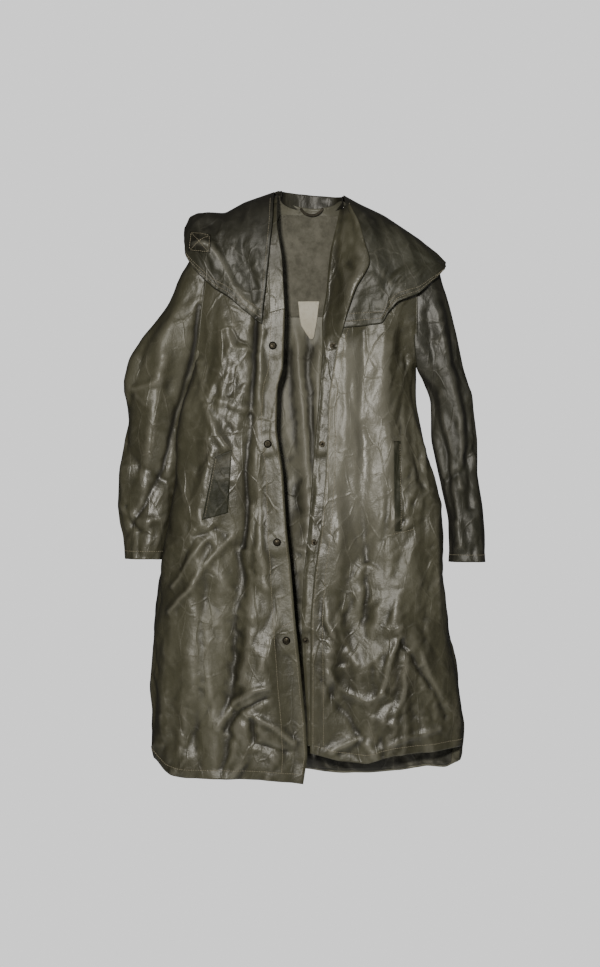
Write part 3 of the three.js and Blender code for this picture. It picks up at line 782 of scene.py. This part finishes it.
BACK_FOLDS = [
    ([(-44, -250), (-30, -380), (-18, -491), (-12, -700)], 12, 9),
    ([(-14, -290), (-8, -420), (-5, -600)], 10, -6),
    ([(-52, -330), (-44, -480), (-40, -640)], 14, -5),
    ([(10, -320), (6, -480), (0, -660)], 9, 7),
    ([(-150, -400), (-170, -760), (-190, -1100)], 26, 8),
    ([(-80, -620), (-84, -900), (-96, -1140)], 22, -8),
    ([(60, -420), (70, -760), (76, -1120)], 22, 8),
    ([(130, -360), (160, -700), (190, -1090)], 26, -8),
]


def back():
    u, v = grid(150, 300, -1)
    z = -1.17 * v
    for _ in range(6):
        reach = np.where(u < 0, -body_edge[RIGHT](z), body_edge[LEFT](z))
        x = np.sin(u * math.pi / 2) * reach
        neck = -0.018 - 0.010 * np.clip(1 - (x / 0.056) ** 2, 0, 1)
        dip = 1 - step(np.abs(x + 0.006), 0.046, 0.066)
        top = shoulder_line(x) * (1 - dip) + np.minimum(shoulder_line(x), neck) * dip
        z = top * (1 - v) + back_hem(x) * v
    panel = Panel(np.stack([x, body_depth("back", x, z), z], -1), (0, 1, 0))
    at_seam = step(1 - np.abs(u), 0.0, 0.07)
    under_cape = 0.3 + 0.7 * step(-z, 0.25, 0.33)
    height = crumple(panel.arc() - 0.42, z, 1, 0.008, 0.005)
    return panel.raise_by((height + folds(x, z, BACK_FOLDS)) * at_seam * under_cape + doubled((1 - v) * 1.1))


CAPE_NECK = {RIGHT: -84, LEFT: 60}
CAPE_TIP = {RIGHT: -259, LEFT: 262}
cape_free_edge = lines(8, [
    (20, -82), (-60, -84), (-130, -91), (-200, -98), (-250, -104), (-300, -108),
], [
    (10, 58), (-20, 59), (-43, 64), (-72, 80), (-100, 87), (-129, 96), (-155, 101), (-170, 94), (-206, 71),
    (-257, 55), (-300, 48),
])
CREASED_BAND = [(-240, -118), (-204, -120), (-182, -150), (-160, -196), (-127, -250)]
CAPE_FOLDS = {RIGHT: [
    (CREASED_BAND, 9, 10),
    ([(-209, -78), (-178, -150), (-148, -210), (-124, -262)], 9, -9),
    ([(-236, -60), (-222, -110), (-196, -165)], 12, 6),
    ([(-130, -40), (-122, -120), (-108, -230)], 16, 6),
    ([(-150, -60), (-142, -140), (-120, -200)], 10, -6),
], LEFT: [
    ([(96, -60), (112, -140), (128, -240)], 14, 6),
    ([(120, -60), (150, -150), (160, -215)], 11, -6),
    ([(160, -80), (192, -150), (205, -200)], 14, 6),
    ([(140, -245), (143, -205), (120, -170)], 8, -4),
]}


CAPE_ROUNDING = {RIGHT: 0.100, LEFT: 0.175}    # drop over which the cape fills out to its full depth
CAPE_DARKENING = {RIGHT: 0.32, LEFT: 0.0}           # how far a flap is darkened all over in the shade colour


def cape_depth(face, x, z, side):
    rounding = CAPE_ROUNDING[side] if face == "front" else 0.084
    depth = (FRONT_DEPTH if face == "front" else BACK_DEPTH) + CAPE_CLEARANCE
    depth = depth * section(np.abs(x) / 0.290) * rounded((cape_ridge[side](x) - z) / rounding)
    if face == "front" and side == LEFT:
        depth = depth - 0.014 * step(-z, 0.17, 0.29) * (1 - step(np.abs(x), 0.12, 0.19))
    return depth


def cape_front(side):
    """A front flap of the cape, from its ridge over the shoulder to its hem."""
    t, v = grid(84, 96)
    z = -0.05 - 0.2 * v
    for _ in range(8):
        x = cape_free_edge[side](z) * (1 - t) + CAPE_TIP[side] * MM * t
        z = cape_ridge[side](x) * (1 - v) + cape_hem[side](x) * v
    panel = Panel(np.stack([x, -cape_depth("front", x, z, side) - 0.0008, z], -1), (0, -1, 0.2))
    ridge_fade = step(v, 0.0, 0.10)
    which, broad, middle = (1, 0.0050, 0.0018) if side == RIGHT else (0, 0.0036, 0.0010)
    height = crumple(panel.arc() * SIGN[side] + SIGN[side] * 0.31, z, which, 0.004, broad, 0.001, middle)
    height += folds(x, z, CAPE_FOLDS[side]) + 0.002
    # Painted shade near the top of each flap, where it faces upward, and each flap darkened all over by its
    # share in the table above.
    panel.pale = -CAPE_DARKENING[side] - 0.45 * (1 - step(-z, 0.05, 0.15))
    # Painted highlight along the creased band of the right flap.
    if side == RIGHT:
        panel.pale += np.clip(fold(x, z, CREASED_BAND, 9, 1300), 0, 1.3)
    return panel.raise_by(height * ridge_fade + doubled((1 - v) * 0.25, 0.012))


def cape_back():
    x, v = np.meshgrid(np.linspace(CAPE_TIP[RIGHT], CAPE_TIP[LEFT], 170) * MM, np.linspace(0, 1, 84))
    ridge = np.where(x < 0, cape_ridge[RIGHT](x), cape_ridge[LEFT](x))
    neck = 1 - step(np.abs(x + 0.006), 0.052, 0.066)
    top = ridge * (1 - neck) + neck * np.minimum(ridge, -0.020)
    outward = step(np.abs(x), 0.09, 0.262)
    tip = np.where(x < 0, float(cape_hem[RIGHT](-0.262)), float(cape_hem[LEFT](0.262)))
    z = top * (1 - v) + (-0.292 * (1 - outward) + tip * outward) * v
    depth = np.where(x < 0, cape_depth("back", x, z, RIGHT), cape_depth("back", x, z, LEFT))
    panel = Panel(np.stack([x, depth + 0.0008, z], -1), (0, 1, 0.2))
    height = crumple(x, z, 0, 0.006, 0.005) + 0.002
    return panel.raise_by(height * step(v, 0.0, 0.10) + doubled((1 - v) * 0.27, 0.012))


SLEEVE_FOLDS = {RIGHT: [
    ([(-262, -190), (-300, -300), (-330, -420)], 16, 6),
    ([(-285, -215), (-345, -330), (-372, -440)], 12, -6),
    ([(-300, -340), (-330, -480), (-345, -600)], 14, 7),
    (DEEP_FOLD["sleeve"], 8, -8),
    ([(-380, -640), (-372, -668), (-350, -690)], 6, -5),
    ([(-366, -404), (-340, -398), (-312, -386)], 9, 4),
    ([(-390, -500), (-350, -560), (-300, -590)], 12, -6),
    ([(-396, -640), (-350, -668), (-296, -664)], 10, 6),
    ([(-385, -700), (-360, -680), (-322, -700)], 8, -5),
], LEFT: [
    ([(240, -210), (262, -330), (292, -440), (300, -600)], 12, 7),
    ([(258, -230), (284, -340), (312, -470), (318, -640)], 10, -7),
    ([(226, -250), (240, -380), (262, -520), (282, -660)], 11, -6),
    ([(250, -420), (275, -540), (296, -720)], 10, 6),
    ([(332, -520), (300, -570), (262, -590)], 10, -5),
]}


def sleeve(side):
    """A sleeve as one tube, open at the armhole above the armpit."""
    k, v = grid(96, 200, -1)
    z = -0.15 + (CUFF[side] + 0.15) * v
    for _ in range(6):
        outer = sleeve_outer[side](z)
        openness = step(z, ARMPIT - 0.04, ARMPIT + 0.06)
        inner = sleeve_inner[side](z) + SIGN[side] * (0.001 - 0.010 * openness)
        hidden = inner - SIGN[side] * 0.044 * openness
        middle, half = (outer + hidden) / 2, np.abs(outer - hidden) / 2
        end = np.arccos(np.clip(SIGN[side] * (inner - middle) / half, -1, 1))
        turn = end * k
        x = middle + SIGN[side] * half * np.cos(turn)
        top = cape_ridge[side](x) - 0.014
        z = top * (1 - v) + CUFF[side] * v
    depth = (SLEEVE_DEPTH + 0.008 * openness) * rounded((cape_ridge[side](x) - 0.012 - z) / 0.07)
    y = -depth * np.sin(turn)
    panel = Panel(np.stack([x, y, z], -1), np.stack([x - middle, y, np.zeros_like(z)], -1))
    front_half = np.sin(turn) > 0
    around = turn * 0.045
    height = crumple(around + SIGN[side] * 0.5, z, 0 if side == LEFT else 1, 0.006, 0.005)
    table = SLEEVE_FOLDS[side]
    height += np.where(front_half, folds(x, z, table), 0.4 * folds(x, z, table[::-1]))
    calm = step(np.abs(np.sin(turn)), 0.0, 0.35) * step(v, 0.0, 0.12)
    height = height * np.maximum(calm, 0.15) * (0.5 + 0.5 * step(-z, 0.18, 0.30))
    # Painted shade along the right sleeve's deep fold, and over the whole left sleeve.
    if side == RIGHT:
        panel.pale = np.where(front_half, -np.clip(fold(x, z, DEEP_FOLD["sleeve"], 5, 1000), 0, 1), 0)
    else:
        panel.pale = -0.4
    return panel.raise_by(height + doubled(z - CUFF[side], height=0.0010))


def fly():
    """The strip under the left front's edge, which rolls back as a lapel at the neck."""
    t, v = grid(16, 220)
    z = -0.034 - 1.084 * v
    outer = front_edge[LEFT](z) + 0.007 - 0.004 * step(z, -0.33, -0.27)
    x = roll_line(z) * (1 - t) + outer * t
    lapel = step(z, -0.33, -0.27)
    over_cape = -np.maximum(body_depth("front", x, z), cape_depth("front", x, z, LEFT)) - 0.0065
    behind = -body_depth("front", x, z) + 0.0055
    curl = 0.006 * step(t, 0.6, 1.0)
    y = behind + (over_cape - curl - behind) * lapel * step(t, 0.10, 0.80)
    panel = Panel(np.stack([x, y, z], -1), (0, -1, 0))
    calm = 1 - 0.9 * near(x, z, stud_places(LEFT), 0.030)
    height = crumple(x + 0.11, z, 0, 0.003, 0.003) * calm
    roll = -0.006 * (1 - step(t, 0.0, 0.35)) * (0.4 + 0.6 * lapel)
    return panel.raise_by(height + roll)


# ---- making the coat


def square_to(line, towards):
    """Unit (x, z) direction square to a line between two points, on the side that faces towards."""
    (ax, az), (bx, bz) = line
    across = np.array([az - bz, bx - ax]) / math.hypot(bx - ax, bz - az)
    return across * (1 if across @ towards > 0 else -1)


def fold_span(side):
    """Where a front starts and ends its bend, across its fold line."""
    line = np.array(FOLD_LINE[side]) * MM
    inboard = square_to(line, (-SIGN[side], 0))
    start, end = line[0] - 0.022 * inboard, line[0] + 0.008 * inboard
    return (start[0], -0.055, start[1]), (end[0], -0.055, end[1])


def sleeve_span(side):
    return (SIGN[side] * 0.245, 0, -0.150), (SIGN[side] * 0.262, 0, -0.262)


def cape_span(side):
    """Where a flap of the cape starts and ends its bend, below its ridge."""
    ridge = [(x, float(cape_ridge[side](x))) for x in (CAPE_NECK[side] * MM, CAPE_TIP[side] * MM)]
    middle = np.mean(ridge, 0)
    low = middle + 0.030 * square_to(ridge, (0, -1))
    return (middle[0], -0.002, middle[1]), (low[0], -0.030, low[1])


def hinge(part, side):
    """The body of a moving part and the span of its bend, as place() takes them."""
    spans = {"front": fold_span, "sleeve": sleeve_span, "cape": cape_span}
    return f"{part}_{side}", spans[part](side)


def pocket_mouth(side):
    """Where the cloth of a front is cut open for the hand, as shares of its grid."""
    top, low, width = POCKET_MOUTH[side]
    x, z = fronts[side].p[..., 0], fronts[side].p[..., 2]
    edge = np.interp(-z, [-top[1] * MM, -low[1] * MM], [top[0] * MM, low[0] * MM])
    out = SIGN[side] * (x - edge)
    is_open = (out > 0.002) & (out < width * MM) & (z < top[1] * MM) & (z > low[1] * MM)
    return ~is_open[:-1, :-1]


POCKET_MOUTH = {RIGHT: ((-170, -536), (-178, -648), 9), LEFT: ((159, -516), (161, -680), 8)}
LINING = [(-70, -40), (60, -44), (160, -250), (-165, -250)]
WELT = {
    RIGHT: [(-166, -526), (-200, -540), (-226, -666), (-174, -652)],
    LEFT: [(157, -508), (171, -508), (173, -688), (159, -688)],
}
BAG = {
    RIGHT: [(-140, -530), (-214, -530), (-232, -790), (-152, -790)],
    LEFT: [(128, -530), (206, -530), (214, -790), (130, -790)],
}

PATCH = [(-208, -98), (-249, -88), (-252, -128), (-208, -136)]

fronts = {side: front(side) for side in SIGN}
back_panel = back()
capes = {side: cape_front(side) for side in SIGN}
cape_back_panel = cape_back()
sleeves = {side: sleeve(side) for side in SIGN}
fly_panel = fly()

layer("back_cloth", back_panel, "oilskin", nodes=["back_panel"])
lining_panel = patch_on(back_panel, LINING, 110, 80, -0.0022)
layer("back_lining_cloth", lining_panel, "cloth_backing")
hem_panel = strip_in(back_panel, 0.10, 0.90, 0.958, 0.996, 110, 8, -LAYER * 0.5)
layer("hem_facing_back_cloth", hem_panel, "oilskin_trim")
layer("cape_cloth_back", cape_back_panel, "oilskin", look=SHADED_LOOK)
band_panel = strip_in(cape_back_panel, 0.03, 0.97, 0.905, 0.985, 120, 6, -LAYER * 0.5)
layer("cape_hem_band_back_cloth", band_panel, "oilskin_trim")
layer("fly_cloth", fly_panel, "oilskin_trim", *hinge("front", LEFT), nodes=["lapel_left", "fly_strip_left"],
      look=LOOKS["oilskin"])

for side in SIGN:
    front_at, cape_at, sleeve_at = (hinge(part, side) for part in ("front", "cape", "sleeve"))
    layer(f"front_cloth_{side}", fronts[side], "oilskin", *front_at,
          nodes=[f"front_side_{side}", f"front_panel_{side}"], keep=pocket_mouth(side))
    # The cape flaps and the left sleeve wear the darker copy of the oilskin: painted shade.
    layer(f"cape_cloth_{side}", capes[side], "oilskin", *cape_at, [f"cape_front_{side}"], SHADED_LOOK)
    band_panel = strip_in(capes[side], 0.03, 0.90, 0.90, 0.985, 60, 6, -LAYER * 0.5)
    layer(f"cape_hem_band_cloth_{side}", band_panel, "oilskin_trim", *cape_at)
    layer(f"sleeve_cloth_{side}", sleeves[side], "oilskin", *sleeve_at,
          nodes=[f"sleeve_front_{side}", f"sleeve_back_{side}"],
          look=LOOKS["oilskin"] if side == RIGHT else SHADED_LOOK)
    cuff_panel = strip_in(sleeves[side], 0.01, 0.99, 0.955, 0.996, 90, 8, -LAYER * 0.6)
    layer(f"cuff_facing_cloth_{side}", cuff_panel, "oilskin_trim", f"sleeve_{side}")
    facing_panel = strip_in(fronts[side], 0.010, 0.16, 0.44, 0.955, 16, 180, -LAYER)
    layer(f"facing_cloth_{side}", facing_panel, "cloth_backing", *front_at)
    hem_panel = strip_in(fronts[side], 0.17, 0.86, 0.974, 0.996, 60, 6, -LAYER * 0.5)
    layer(f"hem_facing_cloth_{side}", hem_panel, "oilskin_trim", *front_at)
    welt_panel = patch_on(fronts[side], WELT[side], 14, 48, 0.0010)
    layer(f"pocket_welt_cloth_{side}", welt_panel, "oilskin_trim", look=[WELT_CLOTH] * 2, thickness=THIN)
    layer(f"pocket_bag_cloth_{side}", patch_on(fronts[side], BAG[side], 24, 60, -0.008), "cloth_backing")

patch_panel = patch_on(capes[RIGHT], PATCH, 18, 18, 0.0014)
layer("shoulder_patch_cloth", patch_panel, "oilskin_trim", *hinge("cape", RIGHT), ["shoulder_patch_right"])
neck_strip = strip_in(fronts[RIGHT], 0.0, 0.115, 0.02, 0.205, 20, 90, 0.0016)
# Darker at its top and paler lower down, in the same channel as the painted shade and sheen.
neck_strip.pale = 0.7 * step(-neck_strip.p[..., 2], 0.16, 0.21) - 0.45
layer("neck_strip_cloth_right", neck_strip, "oilskin", *hinge("front", RIGHT), nodes=[])


def label():
    """A blank cotton label whose lower end narrows to a point, sewn to the back's lining."""
    left = Line(3, [(-296, -9), (-284, -16), (-266, -27), (-250, -30), (-218, -34)])
    right = Line(3, [(-296, -5), (-292, -2), (-270, 3), (-250, 6), (-218, 10)])
    t, z = np.meshgrid(np.linspace(0, 1, 20), np.linspace(-0.218, -0.296, 32))
    x = left(z) * (1 - t) + right(z) * t
    us, vs = locate(back_panel, x.reshape(-1), z.reshape(-1))
    points, normals = back_panel.at(us, vs)
    return Panel((points - normals * 0.0052).reshape(*x.shape, 3), (0, 1, 0))


layer("label_cloth", label(), "label_cotton", nodes=["blank_label"], thickness=THIN)


def neck_band():
    """The band around the back of the neck, from one front to the other."""
    turn, v = np.meshgrid(np.linspace(-0.22, math.pi + 0.22, 72), np.linspace(0, 1, 16))
    x = -0.006 + 0.064 * np.cos(turn)
    slope = -0.09 * (x + 0.006)
    low, high = -0.036 + 0.016 * (1 - np.sin(turn)), -0.001 - 0.003 * (1 - np.sin(turn))
    z = high * (1 - v) + low * v + slope
    y = 0.001 + (0.033 + 0.003 * v) * np.sin(turn)
    panel = Panel(np.stack([x, y, z], -1), (0, 1, 0))
    return panel.raise_by(crumple(x + 0.2, z, 0, 0.002, 0.002))


layer("neck_band_cloth", neck_band(), "oilskin_trim", thickness=THICK)


def hang_loop():
    """The loop's tape, hanging in a half round from the band."""
    turn, t = np.meshgrid(np.linspace(0, math.pi, 40), np.linspace(0, 1, 5))
    reach = 0.026 - 0.005 * t
    drop = 0.024 - 0.005 * t
    x = -0.006 + reach * np.cos(turn)
    z = -0.022 - drop * np.sin(turn)
    y = 0.022 + 0.012 * step(np.abs(np.cos(turn)), 0.90, 1.0)
    return Panel(np.stack([x, y, z], -1), (0, -1, 0))


LOOP_SPAN = ((-0.006, 0.033, -0.022), (-0.006, 0.024, -0.022))
layer("hang_loop_tape", hang_loop(), "loop_tape", "loop", LOOP_SPAN, ["hang_loop"], thickness=0.0014)

# ---- rows of stitches


def row(panel, u_range, v_range, count=120, lift=0.0003):
    """A straight row on a panel between two shares across and two down."""
    return route_on(panel, np.linspace(*u_range, count), np.linspace(*v_range, count), lift)


def seam(panel, places, count=40):
    """A row on a panel through (x, z) places in millimetres."""
    x, z = np.array(places, float).T * MM
    share = np.linspace(0, len(x) - 1, count)
    order = np.arange(len(x))
    us, vs = locate(panel, np.interp(share, order, x), np.interp(share, order, z))
    return route_on(panel, us, vs, 0.0003)


def cross(panel, lift):
    """Rows around a small panel and from corner to corner."""
    low, high = 0.06, 0.94
    ends = [((low, high), (low, low)), ((low, high), (high, high)), ((low, low), (low, high)),
            ((high, high), (low, high)), ((low, high), (low, high)), ((low, high), (high, low))]
    return [row(panel, u, v, 30, lift) for u, v in ends]


EDGE_ROWS = {RIGHT: [0.012, 0.100], LEFT: [0.012, 0.055]}
TACKS = {       # short rows that hold the facing and the pocket to a front
    RIGHT: [[(-68, -880), (-44, -868)]],
    LEFT: [[(-4, -858), (9, -860)], [(146, -696), (176, -690), (198, -684)]],
}

for side in SIGN:
    cloth_here = fronts[side]
    rows = [row(cloth_here, (share, share), (0.02, 0.985), 400) for share in EDGE_ROWS[side]]
    rows.append(row(cloth_here, (EDGE_ROWS[side][0], 0.97), (0.985, 0.985), 160))
    rows += [seam(cloth_here, places) for places in TACKS[side]]
    stitches(f"edge_stitches_{side}", rows, *hinge("front", side))
    rows = [row(capes[side], (0.02, 0.99), (share, share)) for share in (0.955, 0.90)]
    rows.append(row(capes[side], (0.035, 0.035), (0.06, 0.955)))
    stitches(f"cape_stitches_{side}", rows, *hinge("cape", side))
    rows = [row(sleeves[side], (0.01, 0.99), (0.975, 0.975), 160)]
    stitches(f"cuff_stitches_{side}", rows, f"sleeve_{side}")
    welt_panel = patch_on(cloth_here, WELT[side], 14, 48, 0.0011)
    stitches(f"welt_stitches_{side}", [row(welt_panel, (0.90, 0.90), (0.02, 0.98))])
rows = [row(cape_back_panel, (0.02, 0.98), (share, share), 300) for share in (0.96, 0.91)]
stitches("cape_stitches_back", rows)
stitches("hem_stitches_back", [row(back_panel, (0.03, 0.97), (0.982, 0.982), 300)])
stitches("patch_stitches", cross(patch_panel, 0.0006), *hinge("cape", RIGHT))

# ---- tarnished brass on the studs


for n in range(1, STUD_COUNT + 1):
    for kind in ("cap", "socket", "post", "washer"):
        for material_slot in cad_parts[f"stud_{kind}_{n}"].material_slots:
            material_slot.material = BRASS

# ---- camera, floor and light

EYE = Vector((-0.030, -3.05, -0.593))
VIEW_HEIGHT = 1.934       # height that the picture spans at the coat
VIEW_DISTANCE = 3.0

camera_data = bpy.data.cameras.new("camera")
camera_data.sensor_width = 36
camera_data.lens = 36 * VIEW_DISTANCE / VIEW_HEIGHT
camera = bpy.data.objects.new("camera", camera_data)
camera.location = EYE
camera.rotation_euler = (math.pi / 2, 0, 0)
bpy.context.scene.collection.objects.link(camera)
bpy.context.scene.camera = camera


MIDDLE_OF_COAT = Vector((0, 0, -0.6))


def area_light(name, place_at, size, power, colour=(1, 1, 1), target=MIDDLE_OF_COAT):
    data = bpy.data.lights.new(name, "AREA")
    data.shape = "DISK"
    data.size = size
    data.energy = power
    data.color = colour
    lamp = bpy.data.objects.new(name, data)
    lamp.location = place_at
    lamp.rotation_euler = (target - Vector(place_at)).to_track_quat("-Z", "Y").to_euler()
    bpy.context.scene.collection.objects.link(lamp)


area_light("key", (-0.36, -3.03, -0.12), 0.24, 68, (1.0, 0.960, 0.885))
area_light("fill", (1.9, -2.0, 0.9), 1.6, 7)
area_light("rear", (0.5, 2.6, 0.4), 3.6, 24, target=Vector((0, 0, -0.5)))

FLOOR_HEIGHT, FLOOR_REACH = -2.1, 1.6
corners = [(-1, -1), (1, -1), (1, 1), (-1, 1)]
floor_points = [(FLOOR_REACH * x, FLOOR_REACH * y, FLOOR_HEIGHT) for x, y in corners]
floor_material, _, floor_shader = nodes_of("pale_floor")
fill(floor_shader, {"Base Color": (0.80, 0.80, 0.80, 1), "Roughness": 0.9})
fill(floor_shader, {"Emission Color": (1, 1, 1, 1), "Emission Strength": 0.30})
floor = mesh_object("floor", floor_points, [(0, 1, 2, 3)], [floor_material])

AMBIENT, SKY = 0.07, 1.15     # the room's light on the coat, and the pale room behind it
world = bpy.data.worlds.new("world")
bpy.context.scene.world = world
world.use_nodes = True
background = world.node_tree.nodes["Background"]
background.inputs["Color"].default_value = (1.0, 1.0, 1.0, 1)
rays = add(world.node_tree, "LightPath", {})
brightness = spread(world.node_tree, rays.outputs["Is Camera Ray"], 0, 1, AMBIENT, SKY)
world.node_tree.links.new(brightness, background.inputs["Strength"])
